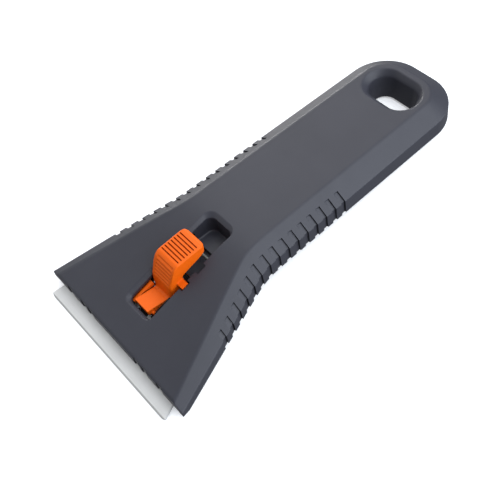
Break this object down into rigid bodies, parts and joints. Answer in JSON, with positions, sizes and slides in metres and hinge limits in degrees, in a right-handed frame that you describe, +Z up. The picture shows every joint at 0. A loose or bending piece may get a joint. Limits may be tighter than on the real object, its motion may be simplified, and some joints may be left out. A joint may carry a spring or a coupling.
{
  "type": "ceramic hob scraper",
  "caption": "Hand-held hob scraper with a cranked grey moulded handle, a sliding white ceramic blade, an orange latching thumb button and a hang hole.",
  "frame": {"origin": "centre of the footprint on the table the scraper lies on, resting on the blade's edge and the lower rim of the butt", "axes": "+X from the blade towards the butt, +Z up, +Y across the body away from the latch tongue's side"},
  "size_m": [0.143, 0.07, 0.0189],
  "materials": {
    "body_grey": "dark grey moulding with a fine matt grain",
    "orange_plastic": "satin orange moulding",
    "ceramic_white": "ground and polished white ceramic",
    "steel": "plain steel"
  },
  "bodies": {
    "handle": {"top_shell": "body_grey", "bottom_cover": "body_grey", "cover_screws": "steel", "stop_pin": "steel"},
    "carriage": {"slider_base": "orange_plastic", "ceramic_blade": "ceramic_white", "blade_clamp": "steel", "clamp_screws": "steel", "button_spring": "steel"},
    "button": {"thumb_button": "orange_plastic", "lock_lug": "orange_plastic"}
  },
  "joints": [
    {"name": "blade_slide", "type": "slide", "parent": "handle", "child": "carriage", "axis": [0.9768, 0, 0.214], "range_m": [0, 0.007], "deforming": ["lock_lug"]},
    {"name": "button_press", "type": "hinge", "parent": "carriage", "child": "button", "pos_m": [-0.05261, 0, 0.00611], "axis": [0, 1, 0], "range_deg": [0, 6], "stiffness_Nm_per_rad": 0.05, "springref_deg": -5.73, "deforming": ["button_spring"]}
  ]
}
